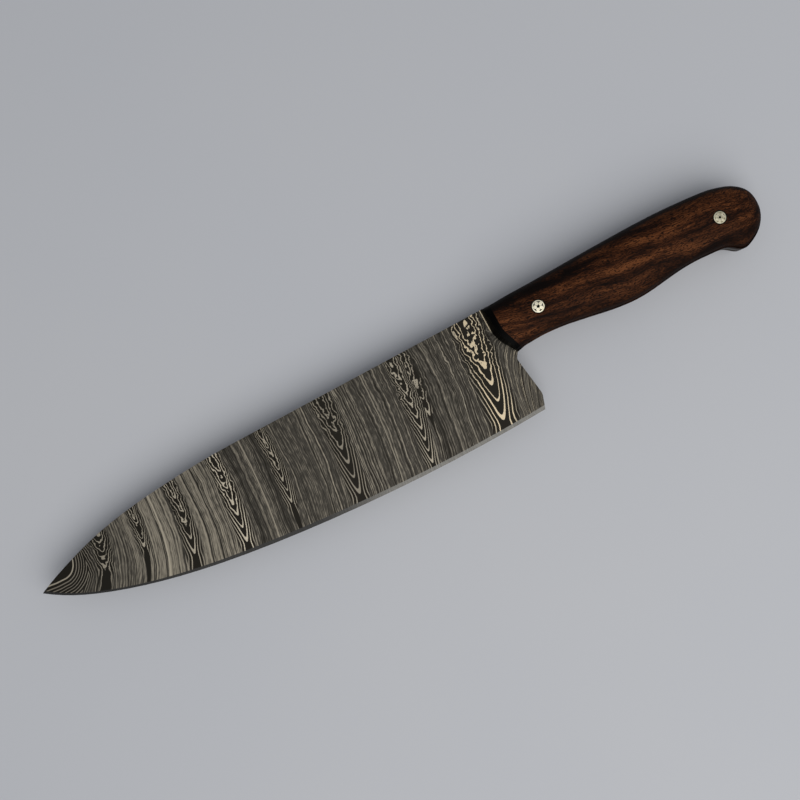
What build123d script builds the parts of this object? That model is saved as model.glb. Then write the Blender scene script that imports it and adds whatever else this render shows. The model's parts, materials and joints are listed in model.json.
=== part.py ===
from build123d import *

import math
import os

# A chef's knife with a full tang: a ladder-pattern blade, black bolsters and wooden scales, held by two
# mosaic pins.
#
# Millimetres. The knife lies on its right side, as it does on a table: +X runs from the tip to the butt,
# +Y from the cutting edge to the spine, and +Z out of the left side of the blade. It is laid out from the
# point where the spine meets the bolsters, in the middle of the steel, and at the end every part is moved
# so that the origin is the middle of the underside of the knife's box.

# ---- blade --------------------------------------------------------------------------------------
STOCK = 3.0  # thickness of the tang, and of the blade at its spine by the heel
SHOULDER_HALF = 0.30  # half thickness of the blade where the cutting bevel starts, by the heel
BEVEL_WIDTH = 1.4  # width of the cutting bevel, across the side of the blade
TIP = (-204.1, -16.4)
SPINE_BEND = (-112.0, 0.0)  # the spine is straight from here to the bolsters
SPINE_DROP = [(-136.8, -1.0), (-156.3, -2.9), (-175.9, -6.5), (-191.0, -11.15)]
SPINE_START = (1.0, 0.48)  # direction of the spine as it leaves the tip
HEEL = (2.9, -46.1)  # rear end of the cutting edge
EDGE_BELLY = [
    (-39.0, -46.8),
    (-78.0, -45.3),
    (-117.0, -41.8),
    (-156.0, -35.35),
    (-184.0, -27.05),
    (-196.0, -21.6),
]
BEAK = (4.85, -40.0)  # rearmost corner of the heel
BEAK_RADIUS = 4.0
CHOIL = (2.4, -23.5)  # front of the finger relief, behind the bolsters' lower corner
CHOIL_RADIUS = 1.6
DISTAL_START_X = -60.0  # the blade thins from here to the tip, along an arc
TIP_THINNING = 0.86  # taken off each side at the tip by that arc

# ---- bolsters -----------------------------------------------------------------------------------
# The front and rear of the bolsters are the same line in plan: an upright, a bend and a leaning straight.
FRONT_X = -1.4
REAR_X = 2.15
BEND_Y = -8.5
BEND_RADIUS = 14.0
FRONT_LEAN = 32.0  # degrees from upright, below the bend
REAR_LEAN = 22.0
FRONT_RAKE = 12.0  # degrees that the front leans back as it rises from the blade
RICASSO = 0.3  # unground strip of the blade in front of the bolsters

# ---- handle -------------------------------------------------------------------------------------
# Upright slices across the handle: x, top, bottom, half thickness.
HANDLE_SLICES = [
    (-4.0, 0.0, -23.6, 7.4),
    (0.0, 0.0, -22.4, 7.6),
    (4.0, 0.0, -21.2, 7.9),
    (8.0, 0.2, -20.35, 8.2),
    (15.0, 0.3, -20.1, 8.7),
    (26.0, 0.45, -20.95, 9.5),
    (40.0, 0.75, -23.45, 10.3),
    (55.0, 1.05, -25.2, 10.6),
    (70.0, 1.1, -23.7, 10.3),
    (82.0, 0.7, -23.0, 9.9),
    (89.5, 0.15, -23.4, 9.7),
    (95.4, -0.4, -24.65, 9.5),
    (99.5, -1.05, -27.4, 9.2),
    (103.0, -2.0, -26.85, 8.6),
    (106.5, -3.35, -25.05, 7.7),
    (109.5, -5.3, -22.65, 6.5),
    (111.7, -7.6, -19.8, 5.0),
    (112.9, -10.2, -17.3, 3.4),
    (113.35, -12.2, -15.3, 2.2),
]
HANDLE_END = (-1.0, -0.3)  # direction of the underside as it meets the choil
BUTT_X = 113.5
ROUNDNESS = 2.4  # 2 gives elliptical slices, and more gives flatter sides
SLICE_POINTS = 15  # along the curved side of one slice

# ---- pins ---------------------------------------------------------------------------------------
PIN_RADIUS = 2.38
SLEEVE_WALL = 0.4
GLUE_WIDTH = 0.4  # glue line between a pin and its hole
ROD_GAP = 0.02  # resin between a rod and what it leans on
FRONT_PIN = (18.2, -9.5)
FRONT_RODS = 5
FRONT_TURN = 23.4  # degrees
REAR_PIN = (95.4, -12.5)
REAR_RODS = 7
REAR_TURN = 34.5
CORE_BORE = 0.5  # radius of the bore of the rear pin's core tube

# ---- worked out from them -----------------------------------------------------------------------
HALF_STOCK = STOCK / 2
GRIND_SLOPE = (HALF_STOCK - SHOULDER_HALF) / -HEEL[1]
BEVEL_SLOPE = SHOULDER_HALF / BEVEL_WIDTH
BORE_RADIUS = PIN_RADIUS + GLUE_WIDTH
FAR = 300.0  # beyond the knife in plan
HIGH = 15.0  # beyond the handle's half thickness


def bolster_line(x, lean_degrees, start_y, end_y):
    """The plan line of the bolsters' front or rear, from start_y above the spine down to end_y."""
    lean = math.radians(lean_degrees)
    bend_start = (x, BEND_Y)
    bend_end = (x + BEND_RADIUS * (1 - math.cos(lean)), BEND_Y - BEND_RADIUS * math.sin(lean))
    foot = (bend_end[0] + (bend_end[1] - end_y) * math.tan(lean), end_y)
    return [
        Line((x, start_y), bend_start),
        TangentArc(bend_start, bend_end, tangent=(0, -1)),
        Line(bend_end, foot),
    ]


def region_behind(x, lean_degrees, rake_degrees=0.0, depth=0.0):
    """Everything behind a bolster line, from depth below the tang's left face up, leaning back as it rises."""
    top, bottom = 20.0, -60.0
    line = bolster_line(x, lean_degrees, top, bottom)
    foot = line[-1] @ 1
    rest = Polyline((foot.X, foot.Y), (FAR, bottom), (FAR, top), (x, top))
    plan = Pos(0, 0, HALF_STOCK - depth) * make_face([*line, rest])
    direction = (math.tan(math.radians(rake_degrees)), 0, 1)
    return extrude(plan, amount=HIGH + depth, dir=direction)


def edge_curve(inset=0.0):
    """The cutting edge from heel to tip, or the same curve moved into the blade by inset."""
    points = [HEEL, *EDGE_BELLY, TIP]
    guide = Spline(*points)
    moved = []
    for point in points:
        along = guide.tangent_at(guide.param_at_point(point))
        moved.append((point[0] + along.Y * inset, point[1] - along.X * inset))
    return Spline(*moved, tangents=(guide % 0, guide % 1))


def steel_outline():
    """The blade and its tang in plan, as one face."""
    spine = Spline(TIP, *reversed(SPINE_DROP), SPINE_BEND, tangents=(SPINE_START, (1, 0)))
    tops = [(x, top) for x, top, bottom, half in HANDLE_SLICES[1:]]
    bottoms = [(x, bottom) for x, top, bottom, half in HANDLE_SLICES[2:]]
    butt = (BUTT_X, (tops[-1][1] + bottoms[-1][1]) / 2)
    handle = Spline(*tops, butt, *reversed(bottoms), tangents=((1, 0), HANDLE_END))
    heel_back = Polyline(bottoms[0], CHOIL, BEAK, HEEL)
    face = make_face([edge_curve(), spine, Line(SPINE_BEND, tops[0]), handle, heel_back])
    face = fillet(face.vertices().sort_by_distance(CHOIL)[0], CHOIL_RADIUS)
    return fillet(face.vertices().sort_by_distance(BEAK)[0], BEAK_RADIUS)


def left_grind():
    """What the main grind takes off the blade's left side: a plane by the heel, then an arc to the tip."""
    rear_x = 10.0
    low_y = -60.0
    width = 80.0
    overrun = 20.0
    length = DISTAL_START_X - TIP[0]
    radius = (length**2 + TIP_THINNING**2) / (2 * TIP_THINNING)
    end_angle = math.asin((length + overrun) / radius)
    end = (TIP[0] - overrun, 0, -radius * (1 - math.cos(end_angle)))
    flat = Line((rear_x, 0, 0), (DISTAL_START_X, 0, 0))
    arc = TangentArc(flat @ 1, end, tangent=(-1, 0, 0))
    lid = Polyline(end, (end[0], 0, HIGH), (rear_x, 0, HIGH), (rear_x, 0, 0))
    profile = Pos(0, low_y, HALF_STOCK + low_y * GRIND_SLOPE) * make_face([flat, arc, lid])
    return extrude(profile, amount=width, dir=(0, 1, GRIND_SLOPE))


def bevel_core():
    """The left half of what the cutting bevels leave: a block far wider than the blade, tapered at its edge."""
    height = 3.0
    layers = []
    for level in (0.0, height):
        curve = edge_curve(level / BEVEL_SLOPE)
        heel_end = curve @ 0 - (curve % 0) * FAR
        tip_end = curve @ 1 + (curve % 1) * FAR
        rest = Polyline(tip_end, (tip_end.X, FAR), (heel_end.X, FAR), heel_end)
        face = make_face([Line(heel_end, curve @ 0), curve, Line(curve @ 1, tip_end), rest])
        layers.append(Pos(0, 0, level) * face)
    return loft(layers, ruled=True)


def blade():
    """The blade and its tang, without the pin holes."""
    blank = extrude(Pos(0, 0, -HALF_STOCK) * steel_outline(), amount=STOCK)
    grind = left_grind() - region_behind(FRONT_X - RICASSO, FRONT_LEAN, depth=HIGH)
    core = bevel_core()
    return (blank - grind - mirrored(grind)) & (core + mirrored(core))


def mirrored(part):
    """The same part on the other side of the steel."""
    return mirror(part, about=Plane.XY)


def slice_face(x, top, bottom, half):
    """One upright slice of the left half of the handle, from the middle of the steel out."""
    middle = (top + bottom) / 2
    reach = (top - bottom) / 2
    rise = half - HALF_STOCK
    curve = []
    for step in range(SLICE_POINTS):
        angle = math.pi * step / (SLICE_POINTS - 1)
        across = math.copysign(abs(math.cos(angle)) ** (2 / ROUNDNESS), math.cos(angle))
        up = abs(math.sin(angle)) ** (2 / ROUNDNESS)
        curve.append((x, middle + reach * across, HALF_STOCK + rise * up))
    side = Spline(*curve, tangents=((0, 0, 1), (0, 0, -1)))
    base = Polyline(curve[-1], (x, bottom, 0), (x, top, 0), curve[0])
    return make_face([side, base])


def disc_through(centre, radius, inner=0.0):
    """A round bar through the left half of the handle, or a tube where inner isn't 0."""
    bar = Pos(centre[0], centre[1], HIGH / 2) * Cylinder(radius, HIGH)
    if inner:
        bar -= Pos(centre[0], centre[1], HIGH / 2) * Cylinder(inner, HIGH)
    return bar


def rod_sizes(count):
    """The radius of each of count rods that fill a sleeve in a ring, and of the ring of their centres."""
    inside = PIN_RADIUS - SLEEVE_WALL
    rod = inside / (1 + 1 / math.sin(math.pi / count))
    return rod, inside - rod


def rod_bars(centre, count, turn):
    """The ring of rods inside a pin."""
    rod, ring = rod_sizes(count)
    bars = []
    for index in range(count):
        angle = math.radians(turn + 360 * index / count)
        place = (centre[0] + ring * math.cos(angle), centre[1] + ring * math.sin(angle))
        bars.append(disc_through(place, rod - ROD_GAP))
    return bars


def pin_parts(name, centre, count, turn, core_bore=0.0):
    """The left halves of a mosaic pin's sleeve, rods, core, resin and glue line, by node name."""
    inside = PIN_RADIUS - SLEEVE_WALL
    rods = rod_bars(centre, count, turn)
    resin = disc_through(centre, inside)
    for rod in rods:
        resin -= rod
    parts = {
        name + "_sleeve": [disc_through(centre, PIN_RADIUS, inside)],
        name + "_rods": rods,
        name + "_glue": [disc_through(centre, BORE_RADIUS, PIN_RADIUS)],
    }
    if core_bore:
        rod, ring = rod_sizes(count)
        core = disc_through(centre, ring - rod - ROD_GAP, core_bore)
        resin -= core
        parts[name + "_core"] = [core]
    parts[name + "_resin"] = resin.solids()
    return parts


def whole(left_half):
    """A part that runs through the steel, from the half of it that is on the left."""
    return left_half + mirrored(left_half)


def build():
    """Every part of the knife, by node name, each a list of solids."""
    grip = loft([slice_face(*row) for row in HANDLE_SLICES])
    behind_front = region_behind(FRONT_X, FRONT_LEAN, FRONT_RAKE)
    behind_rear = region_behind(REAR_X, REAR_LEAN)
    bores = [disc_through(centre, BORE_RADIUS) for centre in (FRONT_PIN, REAR_PIN)]

    steel = blade()
    for bore in bores:
        steel -= whole(bore)
    bolster = (grip & behind_front) - behind_rear
    scale = grip & behind_rear
    for bore in bores:
        scale -= bore
    parts = {
        "blade": [steel],
        "bolster_left": [bolster],
        "bolster_right": [mirrored(bolster)],
        "scale_left": [scale],
        "scale_right": [mirrored(scale)],
    }
    pins = pin_parts("front_pin", FRONT_PIN, FRONT_RODS, FRONT_TURN)
    pins |= pin_parts("rear_pin", REAR_PIN, REAR_RODS, REAR_TURN, CORE_BORE)
    for name, bars in pins.items():
        parts[name] = [whole(bar & grip) for bar in bars]
    return parts


def centred(parts):
    """The same parts, moved so that the origin is the middle of the underside of the knife's box."""
    box = Compound([solid for solids in parts.values() for solid in solids]).bounding_box()
    middle = box.center()
    move = Pos(-middle.X, -middle.Y, -box.min.Z)
    return {name: [move * solid for solid in solids] for name, solids in parts.items()}


if __name__ == "__main__":
    os.makedirs("parts", exist_ok=True)
    for name, solids in centred(build()).items():
        export_step(Compound(solids), "parts/" + name + ".step")
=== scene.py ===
import json
import math

import bpy
from mathutils import Euler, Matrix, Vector


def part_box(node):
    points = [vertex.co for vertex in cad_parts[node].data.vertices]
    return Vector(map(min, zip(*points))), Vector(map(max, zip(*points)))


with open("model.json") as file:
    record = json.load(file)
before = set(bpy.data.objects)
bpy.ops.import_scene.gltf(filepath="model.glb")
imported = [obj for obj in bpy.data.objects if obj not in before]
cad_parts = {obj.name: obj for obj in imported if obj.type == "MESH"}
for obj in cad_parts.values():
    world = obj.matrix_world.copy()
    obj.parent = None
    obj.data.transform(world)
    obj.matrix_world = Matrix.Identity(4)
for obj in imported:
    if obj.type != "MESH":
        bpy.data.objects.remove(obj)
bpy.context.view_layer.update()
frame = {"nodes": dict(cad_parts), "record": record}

# A chef's knife with a ladder-pattern blade, lying on a pale table and seen from straight above.
# Metres, in the frame of the CAD model. Patterns are laid out in millimetres from the corner where the
# spine meets the front of the left bolster: x towards the butt, depth from the spine towards the edge.

MM = 0.001

# ---- where things are ---------------------------------------------------------------------------
FRONT_PIN_BEHIND = 19.1  # the front pin's middle, behind the spine's corner
FRONT_PIN_BELOW = 9.5  # and below it


def middle_of(name):
    """The middle of a node's box."""
    low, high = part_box(name)
    return (low + high) / 2


front_pin = middle_of("front_pin_sleeve")
SPINE_CORNER = Vector((
    front_pin.x - FRONT_PIN_BEHIND * MM,
    front_pin.y + FRONT_PIN_BELOW * MM,
    middle_of("blade").z,
))

# ---- the blade's pattern ------------------------------------------------------------------------
# One row for each rung of the ladder: its place at the spine, its half width, the layers that the grind
# crosses for each millimetre of depth and of width, how round its V shapes are, the depth of its last
# bright V, how fast it narrows below that, and how bright its lines are.
RUNGS = [
    (-173.0, 3.8, 0.42, 1.2, 1.6, 18.5, 0.10, 0.75),
    (-157.0, 2.6, 0.31, 1.5, 0.7, 18.5, 0.22, 0.85),
    (-139.4, 3.2, 0.20, 1.2, 0.8, 30.0, 0.06, 0.85),
    (-119.8, 3.4, 0.20, 1.1, 0.9, 35.5, 0.10, 1.2),
    (-98.4, 2.8, 0.24, 1.4, 0.5, 30.5, 0.22, 0.75),
    (-72.0, 4.4, 0.17, 1.1, 2.0, 39.8, 0.06, 0.55),
    (-40.6, 3.4, 0.23, 1.2, 0.8, 43.0, 0.06, 0.75),
    (-35.6, 2.2, 0.19, 0.9, 0.5, 26.0, 0.90, 0.70),
    (-8.4, 7.0, 0.15, 0.80, 2.2, 41.0, 0.06, 1.0),
]
# Single bright lines between the rungs: place at the spine, half width and strength.
BRIGHT_LINES = [
    (-166.0, 0.28, 0.45),
    (-149.0, 0.30, 0.85),
    (-150.6, 0.22, 0.5),
    (-130.3, 0.30, 0.6),
    (-107.6, 0.24, 0.65),
    (-54.0, 0.20, 0.6),
    (-27.2, 0.24, 0.45),
]
SPINE_ROUNDING = 9.0  # how far below the spine the layers start to rise evenly
PAST_BRIGHT = 0.28  # layers from the middle of a bright one to well inside the next dark one
BEND_START = -110.0  # the rungs bend more from here to the tip
BEND_LENGTH = 65.0
LEAST_BEND = 0.0022  # towards the tip, for each square of the depth
TIP_BEND = 0.0075  # added to that one bend length beyond the start
POINT_GROOVE = (-192.6, 8.0)  # the middle of the arcs at the point
POINT_FIRST_RING = 6.3  # radius of the bright ring round that groove
POINT_REACH = 14.8  # radius at which its arcs fade out

# ---- colours, linear ----------------------------------------------------------------------------
ETCHED_DARK = (0.016, 0.014, 0.010)
ETCHED_GREY = (0.062, 0.056, 0.046)
NICKEL = (0.54, 0.48, 0.37)
WARM_NICKEL = (0.56, 0.465, 0.315)
# Painted shade on the cutting bevel towards the tip
BEVEL_TIP_SHADE = (0.012, 0.012, 0.013)
TANG_EDGE = (0.012, 0.010, 0.008)
# Painted shade on the belly and the hook of the handle
WOOD_SHADE = (0.0060, 0.0020, 0.0010)
# Painted shade together with handling wear on the rounded edges of the handle
WOOD_WORN_AND_SHADE = (0.0030, 0.0016, 0.0012)
WOOD_PORE = (0.0042, 0.0026, 0.0022)
BORE_BLACK = (0.002, 0.002, 0.0015)


class Graph:
    """The nodes of one material, with short calls for the arithmetic between its sockets."""

    def __init__(self, name):
        self.material = bpy.data.materials.new(name)
        self.material.use_nodes = True
        self.tree = self.material.node_tree
        self.shader = self.tree.nodes["Principled BSDF"]

    def add(self, kind, inputs=(), **settings):
        """A new node of a kind, with its inputs and its own settings by name."""
        node = self.tree.nodes.new("ShaderNode" + kind)
        for key, value in settings.items():
            setattr(node, key, value)
        for key, value in dict(inputs).items():
            self.put(value, node.inputs[key])
        return node

    def put(self, value, socket):
        """Links value to a socket, or sets it there if it is a number or a colour."""
        if isinstance(value, bpy.types.NodeSocket):
            self.tree.links.new(value, socket)
        else:
            socket.default_value = value

    def calc(self, operation, *values):
        """The result of one Math node."""
        node = self.add("Math", operation=operation)
        for index, value in enumerate(values):
            self.put(value, node.inputs[index])
        return node.outputs[0]

    def plus(self, a, b):
        return self.calc("ADD", a, b)

    def minus(self, a, b):
        return self.calc("SUBTRACT", a, b)

    def times(self, a, b):
        return self.calc("MULTIPLY", a, b)

    def ramp(self, value, low, high, start=0.0, end=1.0):
        """start where value is low, end where it is high, and a smooth step between."""
        inputs = {"Value": value, "From Min": low, "From Max": high, "To Min": start, "To Max": end}
        return self.add("MapRange", inputs, interpolation_type="SMOOTHSTEP").outputs["Result"]

    def place(self):
        """Millimetres along, into the depth of and across the knife, from the spine's corner."""
        coordinates = self.add("TexCoord").outputs["Object"]
        split = self.add("SeparateXYZ", {"Vector": coordinates})
        along = self.times(self.minus(split.outputs["X"], SPINE_CORNER.x), 1 / MM)
        depth = self.times(self.minus(SPINE_CORNER.y, split.outputs["Y"]), 1 / MM)
        across = self.times(self.minus(split.outputs["Z"], SPINE_CORNER.z), 1 / MM)
        return along, depth, across

    def vector(self, x, y, z=0.0):
        return self.add("CombineXYZ", {"X": x, "Y": y, "Z": z}).outputs[0]

    def noise(self, vector, scale, detail=2.0, roughness=0.5):
        inputs = {"Vector": vector, "Scale": scale, "Detail": detail, "Roughness": roughness}
        return self.add("TexNoise", inputs).outputs["Fac"]

    def stretched_noise(self, place, per_mm, detail=2.0, roughness=0.5):
        """Noise with a frequency of its own along each axis of place."""
        scaled = [self.times(value, frequency) for value, frequency in zip(place, per_mm)]
        return self.noise(self.vector(*scaled), 1.0, detail, roughness)

    def noise_line(self, value, per_mm, detail=1.0):
        """Noise that changes with one value only."""
        inputs = {"W": value, "Scale": per_mm, "Detail": detail}
        return self.add("TexNoise", inputs, noise_dimensions="1D").outputs["Fac"]

    def colours(self, value, *stops):
        """A colour ramp through stops of (place, colour)."""
        node = self.add("ValToRGB", {"Fac": value})
        elements = node.color_ramp.elements
        while len(elements) < len(stops):
            elements.new(0.5)
        for element, (place, colour) in zip(elements, stops):
            element.position = place
            element.color = (*colour, 1.0)
        return node.outputs["Color"]

    def mix(self, factor, first, second):
        """The colour socket first where factor is 0, and second, a socket or a colour, where it is 1."""
        if isinstance(second, tuple):
            second = (*second, 1.0)
        return self.add("Mix", {0: factor, 6: first, 7: second}, data_type="RGBA").outputs[2]

    def set(self, **values):
        """Sets or links the shader's inputs, with _ for a space in a name."""
        for key, value in values.items():
            self.put(value, self.shader.inputs[key.replace("_", " ")])

    def bump(self, height, distance, strength=1.0):
        node = self.add("Bump", {"Height": height, "Distance": distance, "Strength": strength})
        self.put(node.outputs["Normal"], self.shader.inputs["Normal"])


def wandering(g, along, depth, across):
    """How far the layers stray: a slow drift, and a wobble by the heel and close to the spine."""
    drift = g.minus(g.stretched_noise((along, depth, across), (0.10, 0.05, 0.3)), 0.5)
    quick = g.minus(g.stretched_noise((along, depth, across), (0.35, 0.30, 0.4), 3.0, 0.55), 0.5)
    near_heel = g.ramp(along, -80.0, -36.0, 0.35, 1.0)
    near_spine = g.ramp(depth, 34.0, 12.0, 0.1, 1.0)
    return drift, g.times(g.times(quick, 3.0), g.times(near_heel, near_spine))


def rung_layers(g, depth, warped):
    """The count of layers round the rungs, the distance to the nearest one in its widths, and its shine.

    Each rung is a groove that was filed in and forged flat, so the layers rise round it in V shapes.
    """
    fall = g.calc("SQRT", g.plus(g.times(depth, depth), SPINE_ROUNDING**2))
    layer = 1000.0
    nearness = 1000.0
    shine = 0.0
    for x, half_width, per_depth, per_width, roundness, last_v, narrowing, strength in RUNGS:
        below = g.calc("MAXIMUM", g.minus(depth, last_v), 0.0)
        aside = g.minus(warped, x)
        opened = g.calc("DIVIDE", aside, g.plus(g.times(below, 0.06), 1.0))
        wall = g.calc("SQRT", g.plus(g.times(opened, opened), roundness**2))
        last_fall = math.sqrt(last_v**2 + SPINE_ROUNDING**2)
        # Below its last V a rung goes on as a plain dark stripe.
        sunk = g.calc("MINIMUM", g.minus(fall, last_fall), PAST_BRIGHT / per_depth)
        across_rung = g.times(g.minus(wall, roundness), per_width)
        layer = g.calc("MINIMUM", layer, g.plus(across_rung, g.plus(g.times(sunk, per_depth), 0.5)))
        away = g.times(g.calc("ABSOLUTE", aside), 1 / half_width)
        away = g.times(away, g.plus(g.times(below, narrowing), 1.0))
        nearness = g.calc("MINIMUM", nearness, away)
        shine = g.calc("MAXIMUM", shine, g.times(g.ramp(away, 0.35, 1.0, 1.0, 0.5), strength))
    return layer, nearness, shine


def point_layers(g, along, depth, drift):
    """The same three values for the arcs at the very point, round one more groove at the spine."""
    beside = g.minus(along, POINT_GROOVE[0])
    beside = g.calc("MAXIMUM", beside, g.times(beside, -0.28))  # drawn out towards the tip
    below = g.times(g.minus(depth, POINT_GROOVE[1]), 0.85)
    radius = g.calc("SQRT", g.plus(g.times(beside, beside), g.times(below, below)))
    radius = g.plus(radius, drift)

    from_ring = g.minus(g.calc("MAXIMUM", radius, POINT_FIRST_RING - 0.9), POINT_FIRST_RING)
    layer = g.plus(g.times(from_ring, 0.75), 0.5)
    outside = g.calc("MAXIMUM", g.minus(radius, POINT_FIRST_RING + 1.7), 0.0)
    layer = g.plus(layer, g.times(outside, 0.35))
    layer = g.plus(layer, g.ramp(radius, POINT_REACH - 0.5, POINT_REACH + 1.0, 0.0, 50.0))
    brightness = g.ramp(radius, POINT_FIRST_RING + 0.6, POINT_FIRST_RING + 1.3, 0.85, 0.4)
    return layer, g.times(radius, 1 / POINT_REACH), g.times(brightness, g.ramp(along, -178.0, -182.0))


def crowded_lines(g, along, depth, across, straight, drift, wobble):
    """The fine upright lines that the layers make where they are crowded between the rungs."""
    upright = g.plus(straight, g.plus(g.times(drift, 3.0), g.times(wobble, 0.6)))
    by_heel = g.calc("MAXIMUM", g.plus(along, 5.0), 0.0)
    upright = g.plus(upright, g.times(by_heel, g.times(g.minus(depth, 22.0), 0.09)))
    fine = g.minus(g.noise_line(upright, 1.8, 2.0), 0.5)
    broad = g.minus(g.noise_line(upright, 0.35), 0.5)
    grain = g.minus(g.stretched_noise((upright, depth, across), (2.0, 0.35, 1.0)), 0.5)
    paler = g.plus(g.ramp(along, -100.0, -150.0, 0.35, 0.60), g.ramp(along, -154.0, -170.0, 0.0, -0.16))
    lines = g.plus(g.plus(fine, g.times(broad, 0.18)), g.plus(g.times(grain, 0.6), paler))

    # Here and there a seam is dark, and a few layers of nickel are bright.
    seam = g.calc("ABSOLUTE", g.minus(g.noise_line(upright, 0.42), 0.5))
    lines = g.minus(lines, g.ramp(seam, 0.030, 0.008, 0.0, 0.28))
    lines = g.calc("MINIMUM", g.calc("MAXIMUM", lines, 0.02), 0.7)
    for x, half_width, strength in BRIGHT_LINES:
        aside = g.calc("ABSOLUTE", g.minus(g.plus(straight, g.times(wobble, 0.3)), x))
        line = g.ramp(aside, half_width + 0.2, half_width - 0.1, 0.0, strength)
        lines = g.calc("MAXIMUM", lines, line)
    return lines


def damascus():
    """Etched pattern-welded steel: the layers' contour lines, with a plain ground bevel at the edge."""
    g = Graph("damascus_steel")
    along, depth, across = g.place()
    drift, wobble = wandering(g, along, depth, across)

    # Drawing the point out bent the rungs towards the tip, more with depth and more by the tip.
    by_tip = g.calc("MAXIMUM", g.times(g.minus(along, BEND_START), -1 / BEND_LENGTH), 0.0)
    bend = g.plus(g.times(g.times(by_tip, by_tip), TIP_BEND), LEAST_BEND)
    straight = g.plus(along, g.times(bend, g.times(depth, depth)))
    warped = g.plus(straight, g.plus(g.times(drift, 1.6), wobble))

    layer, nearness, shine = rung_layers(g, depth, warped)
    point_layer, point_nearness, point_shine = point_layers(g, along, depth, drift)
    layer = g.calc("MINIMUM", layer, point_layer)
    nearness = g.calc("MINIMUM", nearness, point_nearness)
    shine = g.calc("MAXIMUM", shine, point_shine)

    # Patches close to the spine are ground to another layer, except at the point.
    patches = g.minus(g.stretched_noise((along, depth, across), (0.55, 0.36, 0.2)), 0.5)
    blotch = g.times(g.ramp(depth, 30.0, 10.0), g.ramp(along, -186.0, -176.0))
    layer = g.plus(layer, g.times(g.times(patches, 2.2), blotch))

    # Bright nickel layers are thin and dark layers thick, and both vary.
    by_bolsters = g.ramp(along, -22.0, -14.0)
    thickness = g.ramp(g.noise_line(layer, 0.7), 0.3, 0.7, 0.10, 0.19)
    thickness = g.minus(thickness, g.times(by_bolsters, 0.025))
    phase = g.calc("ABSOLUTE", g.minus(g.calc("FRACT", layer), 0.5))
    bright = g.times(g.ramp(g.minus(phase, thickness), 0.05, -0.05), shine)

    # A painted highlight: a thin bright line just in front of the bolsters, where the grind stops.
    lines = crowded_lines(g, along, depth, across, straight, drift, wobble)
    bolster_highlight = g.ramp(g.calc("ABSOLUTE", g.plus(along, 0.75)), 0.28, 0.12, 0.0, 0.8)
    lines = g.calc("MAXIMUM", lines, g.times(bolster_highlight, g.ramp(depth, 12.0, 8.0)))
    nearness = g.plus(nearness, g.times(bolster_highlight, 2.0))

    crowded = g.ramp(nearness, 0.8, 1.15)
    value = g.add("Mix", {0: crowded, 2: bright, 3: lines}, data_type="FLOAT").outputs[0]
    steel = g.colours(value, (0.0, ETCHED_DARK), (0.36, ETCHED_GREY), (1.0, NICKEL))
    # The nickel is warmest in the rung by the bolsters.
    steel = g.mix(g.times(by_bolsters, g.ramp(value, 0.45, 0.9)), steel, WARM_NICKEL)

    # The cutting bevel is ground through the pattern after etching, and painted shade darkens it towards
    # the tip, where it reflects less light.
    normal = g.add("SeparateXYZ", {"Vector": g.add("NewGeometry").outputs["True Normal"]})
    tilt = g.calc("ABSOLUTE", normal.outputs["Z"])
    side = g.calc("ABSOLUTE", normal.outputs["Y"])
    bevel = g.times(g.ramp(tilt, 0.90, 0.95), g.ramp(side, 0.08, 0.12))
    scratches = g.stretched_noise((along, depth, across), (3.0, 0.4, 1.0), 3.0)
    ground = g.colours(scratches, (0.3, (0.125, 0.121, 0.111)), (0.7, (0.19, 0.185, 0.17)))
    ground = g.mix(g.ramp(along, -55.0, -95.0, 0.0, 0.82), ground, BEVEL_TIP_SHADE)

    # The spine, heel and tang show the edges of the layers, darker on the tang.
    stack = g.stretched_noise((along, depth, across), (0.04, 0.04, 4.0))
    back = g.colours(stack, (0.4, (0.035, 0.032, 0.027)), (0.6, (0.22, 0.20, 0.17)))
    back = g.mix(g.ramp(along, -2.0, 4.0, 0.0, 0.75), back, TANG_EDGE)
    edge_on = g.ramp(tilt, 0.6, 0.3)
    g.set(Base_Color=g.mix(edge_on, g.mix(bevel, steel, ground), back), Metallic=0.85)
    g.set(Roughness=g.ramp(value, 0.0, 1.0, 0.5, 0.38))
    relief = g.times(value, g.minus(1.0, g.calc("MAXIMUM", bevel, edge_on)))
    g.bump(relief, 0.02 * MM, 0.6)
    return g.material


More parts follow.
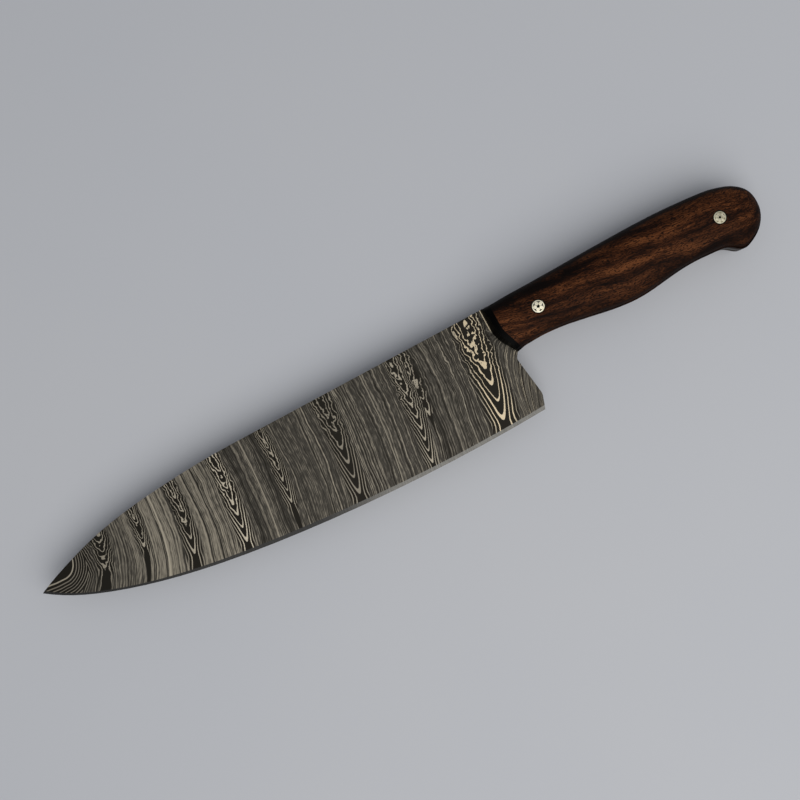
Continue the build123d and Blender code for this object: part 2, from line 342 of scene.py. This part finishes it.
def wood():
    """Dark oiled rosewood: brown and reddish streaks along the grain, with open pores."""
    g = Graph("handle_wood")
    along, depth, across = g.place()
    # The grain runs down towards the butt, steeply at the front and hardly at the rear.
    with_grain = g.plus(along, g.times(depth, 0.15))
    run_out = g.plus(g.times(g.times(along, along), 0.0009), g.times(along, -0.26))
    even = g.plus(depth, run_out)
    wave = g.minus(g.stretched_noise((with_grain, even, across), (0.05, 0.10, 0.08)), 0.5)
    ripple = g.minus(g.stretched_noise((with_grain, even, across), (0.2, 0.3, 0.2)), 0.5)
    cross_grain = g.plus(even, g.plus(g.times(wave, 5.0), g.times(ripple, 1.3)))

    place = (with_grain, cross_grain, across)
    streak = g.stretched_noise(place, (0.020, 0.30, 0.25), 5.0, 0.62)
    fibre = g.stretched_noise(place, (0.22, 3.2, 1.8), 4.0, 0.7)
    cloud = g.stretched_noise(place, (0.06, 0.16, 0.15))
    # A dark streak, partly darker heartwood and partly painted shade of the top flank, runs from the top
    # of the front and fades out in the middle.
    from_dark_streak = g.calc("ABSOLUTE", g.minus(depth, g.plus(g.times(along, 0.09), 1.0)))
    heartwood_and_shade = g.times(g.ramp(from_dark_streak, 2.4, 0.6), g.ramp(along, 52.0, 30.0))
    tone = g.plus(g.plus(g.times(streak, 0.46), g.times(fibre, 0.36)), g.times(cloud, 0.18))
    tone = g.minus(tone, g.times(heartwood_and_shade, 0.12))
    colour = g.colours(
        tone,
        (0.40, (0.0050, 0.0026, 0.0020)),
        (0.455, (0.024, 0.0080, 0.0036)),
        (0.515, (0.070, 0.0230, 0.0085)),
        (0.58, (0.170, 0.058, 0.020)),
    )
    pore = g.ramp(g.stretched_noise(place, (0.9, 3.4, 2.4), 1.0, 0.4), 0.46, 0.40)
    colour = g.mix(g.times(pore, 0.85), colour, WOOD_PORE)
    # Painted shade: the belly and the hook are darker than the rest.
    lower = g.plus(g.ramp(depth, 11.0, 19.0, 0.0, 0.30), g.ramp(depth, 19.0, 25.5, 0.0, 0.35))
    colour = g.mix(lower, colour, WOOD_SHADE)
    # Handling has darkened the rounded edges, and painted shade darkens them as well, most of all on the
    # back of the handle, which faces away from the light.
    normal = g.add("SeparateXYZ", {"Vector": g.add("NewGeometry").outputs["Normal"]})
    flank = g.ramp(g.calc("ABSOLUTE", normal.outputs["Z"]), 0.93, 0.5)
    worn_and_shade = g.times(flank, g.ramp(normal.outputs["Y"], -0.5, 0.5, 0.62, 0.97))
    g.set(Base_Color=g.mix(worn_and_shade, colour, WOOD_WORN_AND_SHADE))
    g.set(Roughness=g.ramp(fibre, 0.3, 0.7, 0.48, 0.62), Specular_IOR_Level=0.05)
    g.bump(g.minus(g.times(fibre, 0.25), pore), 0.05 * MM, 0.7)
    return g.material


def black_horn():
    """Polished black bolster material, with the faint streaks of horn."""
    g = Graph("black_bolster")
    along, depth, across = g.place()
    streak = g.stretched_noise((along, depth, across), (1.4, 0.12, 0.6), 3.0)
    g.set(Base_Color=g.colours(streak, (0.35, (0.0007, 0.0006, 0.0006)), (0.7, (0.002, 0.0018, 0.0017))))
    g.set(Roughness=g.ramp(streak, 0.3, 0.7, 0.30, 0.40), Specular_IOR_Level=0.03)
    g.bump(streak, 0.01 * MM, 0.4)
    return g.material


def brass(name, dark, pale):
    """Brass between a dark and a pale tone, sanded flush with the wood, with fine scratches."""
    g = Graph(name)
    along, depth, across = g.place()
    scratch = g.stretched_noise((along, depth, across), (1.0, 14.0, 1.0), 3.0)
    cloud = g.noise(g.vector(along, depth, across), 1.2, 2.0)
    tone = g.plus(g.times(scratch, 0.4), g.times(cloud, 0.6))
    g.set(Base_Color=g.colours(tone, (0.35, dark), (0.65, pale)))
    g.set(Metallic=0.8, Roughness=g.ramp(scratch, 0.3, 0.7, 0.30, 0.42))
    g.bump(scratch, 0.01 * MM, 0.3)
    return g.material


def dark_fill(name, colour, roughness):
    """Resin or glue: nearly black, with a slight mottle."""
    g = Graph(name)
    along, depth, across = g.place()
    mottle = g.noise(g.vector(along, depth, across), 2.5, 2.0)
    darker = tuple(part * 0.5 for part in colour)
    g.set(Base_Color=g.colours(mottle, (0.3, darker), (0.7, colour)))
    g.set(Roughness=g.ramp(mottle, 0.3, 0.7, roughness, roughness + 0.12), Specular_IOR_Level=0.05)
    g.bump(mottle, 0.01 * MM, 0.4)
    return g.material


def rear_resin():
    """The rear pin's resin: filled with brass dust between the rods, and black in the core's bore."""
    g = Graph("rear_pin_resin")
    along, depth, across = g.place()
    pin = (middle_of("rear_pin_sleeve") - SPINE_CORNER) / MM
    out_x = g.minus(along, pin.x)
    out_y = g.plus(depth, pin.y)  # depth runs down, so it is -y
    radius = g.calc("SQRT", g.plus(g.times(out_x, out_x), g.times(out_y, out_y)))
    mottle = g.noise(g.vector(along, depth, across), 2.5, 2.0)
    dusty = g.colours(mottle, (0.3, (0.16, 0.14, 0.09)), (0.7, (0.30, 0.27, 0.18)))
    g.set(Base_Color=g.mix(g.ramp(radius, 0.7, 0.6), dusty, BORE_BLACK))
    g.set(Roughness=g.ramp(mottle, 0.3, 0.7, 0.35, 0.5), Specular_IOR_Level=0.1)
    g.bump(mottle, 0.01 * MM, 0.4)
    return g.material


def table():
    """A pale table that fills the view."""
    g = Graph("table")
    mottle = g.noise(g.add("TexCoord").outputs["Object"], 6.0, 2.0)
    g.set(Base_Color=g.colours(mottle, (0.3, (0.60, 0.615, 0.65)), (0.7, (0.62, 0.63, 0.655))))
    g.set(Roughness=0.8, Specular_IOR_Level=0.1)
    reach = 3.0
    mesh = bpy.data.meshes.new("table")
    corners = [(-reach, -reach, 0), (reach, -reach, 0), (reach, reach, 0), (-reach, reach, 0)]
    mesh.from_pydata(corners, [], [(0, 1, 2, 3)])
    mesh.materials.append(g.material)
    floor = bpy.data.objects.new("table", mesh)
    bpy.context.scene.collection.objects.link(floor)


def finish_nodes():
    """Gives every CAD node its material."""
    materials = {
        "damascus_steel": damascus(),
        "handle_wood": wood(),
        "black_bolster": black_horn(),
        "pin_brass": brass("pin_brass", (0.86, 0.78, 0.54), (1.0, 0.96, 0.80)),
        "pin_resin": dark_fill("pin_resin", (0.004, 0.0035, 0.002), 0.3),
        "glue_line": dark_fill("glue_line", (0.0022, 0.0014, 0.001), 0.45),
    }
    for subpart in frame["record"]["subparts"]:
        node = frame["nodes"][subpart["node"]]
        node.material_slots[0].material = materials[subpart["material_slot"]]
    # The rear pin gets a darker copy of the brass, painted shade because it reflects less light than the
    # front one, and its resin is brassy except in the core's bore.
    shaded_rear_brass = brass("rear_pin_brass_shaded", (0.34, 0.31, 0.20), (0.72, 0.68, 0.52))
    for name in ("rear_pin_sleeve", "rear_pin_rods", "rear_pin_core"):
        frame["nodes"][name].material_slots[0].material = shaded_rear_brass
    frame["nodes"]["rear_pin_resin"].material_slots[0].material = rear_resin()


def soft_light(name, place, target, size, power, colour):
    """A square area light that looks at target."""
    data = bpy.data.lights.new(name, "AREA")
    data.size = size
    data.energy = power
    data.color = colour
    light = bpy.data.objects.new(name, data)
    light.location = place
    light.rotation_euler = (Vector(target) - Vector(place)).to_track_quat("-Z", "Y").to_euler()
    bpy.context.scene.collection.objects.link(light)


def studio():
    """The camera straight above, turned so that the tip is at the lower left, and the light."""
    turn = math.radians(28.3)
    distance = 0.4342
    centre = SPINE_CORNER + Vector((-44.5, -16.0, 0)) * MM

    data = bpy.data.cameras.new("camera")
    data.lens = 50
    data.sensor_width = 36
    data.clip_start = 0.01
    camera = bpy.data.objects.new("camera", data)
    camera.location = centre + Vector((0, 0, distance))
    camera.rotation_euler = Euler((0, 0, -turn))
    bpy.context.scene.collection.objects.link(camera)
    bpy.context.scene.camera = camera

    soft_light("key", centre + Vector((0.15, -0.55, 0.9)), centre, 1.2, 7.7, (1.0, 0.985, 0.96))
    world = bpy.data.worlds.new("world")
    world.use_nodes = True
    background = world.node_tree.nodes["Background"]
    background.inputs["Color"].default_value = (0.66, 0.68, 0.72, 1)
    background.inputs["Strength"].default_value = 0.46
    bpy.context.scene.world = world
    bpy.context.scene.view_settings.view_transform = "Standard"


finish_nodes()
table()
studio()
